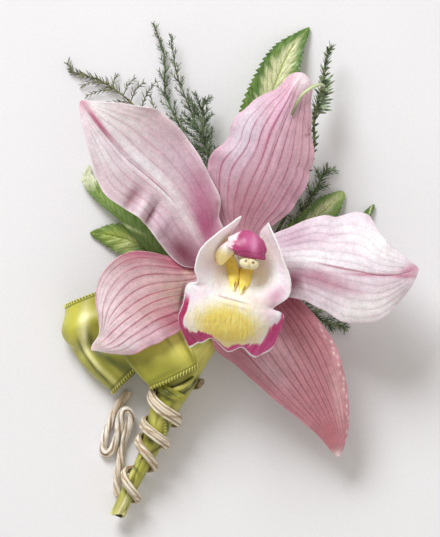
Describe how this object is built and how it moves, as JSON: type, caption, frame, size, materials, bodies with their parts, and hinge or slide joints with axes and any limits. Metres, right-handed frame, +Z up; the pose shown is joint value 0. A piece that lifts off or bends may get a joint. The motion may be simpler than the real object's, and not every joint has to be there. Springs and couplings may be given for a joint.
{
  "type": "corsage",
  "caption": "Pin-on corsage lying on its back: an orchid bloom over leaves and fine sprigs, its stems bound in satin ribbon and wound with paper twine.",
  "frame": {"origin": "on the surface it lies on, under the middle of its box", "axes": "+Z up, out of the bloom's face; +Y along the corsage from the bound stems to the sprigs' tips; +X to the right of someone looking down on it"},
  "size_m": [0.0954, 0.1334, 0.0343],
  "materials": {
    "sepal_rose": "dusty rose sepal with dark veins, waxy",
    "petal_pale": "pale pink petal with rose veins, waxy",
    "lip_white": "white lip with a yellow velvety middle and a magenta margin",
    "column_magenta": "glossy magenta",
    "anther_cream": "smooth cream",
    "stalk_green": "fresh green stalk",
    "stem_tape": "crinkled green floral tape",
    "leaf_green": "leaf with a pale yellow middle and a dark green margin",
    "fern_green": "dark fern foliage",
    "needle_green": "dark green needles",
    "satin_ribbon": "chartreuse satin with stitched selvedges",
    "paper_twine": "twisted pale brown paper twine"
  },
  "bodies": {
    "root": {"dorsal_sepal": "sepal_rose", "left_lateral_sepal": "sepal_rose", "right_lateral_sepal": "sepal_rose", "left_petal": "petal_pale", "right_petal": "petal_pale", "lip": "lip_white", "column": "column_magenta", "anther_cap": "anther_cream", "flower_stalk": "stalk_green", "taped_stems": "stem_tape", "top_leaf": "leaf_green", "left_leaf_upper": "leaf_green", "left_leaf_lower": "leaf_green", "right_leaf": "leaf_green", "small_leaf": "leaf_green", "fern_sprig_left": "fern_green", "fern_sprig_top_outer": "fern_green", "fern_sprig_top_inner": "fern_green", "fern_sprig_top_bushy": "fern_green", "rosemary_sprig_top": "needle_green", "rosemary_sprig_middle": "needle_green", "rosemary_sprig_lower": "needle_green", "ribbon_stem_wrap": "satin_ribbon", "ribbon_loop": "satin_ribbon", "ribbon_band": "satin_ribbon", "ribbon_knot": "satin_ribbon", "twine_wrap": "paper_twine", "twine_tail": "paper_twine"}
  },
  "joints": []
}
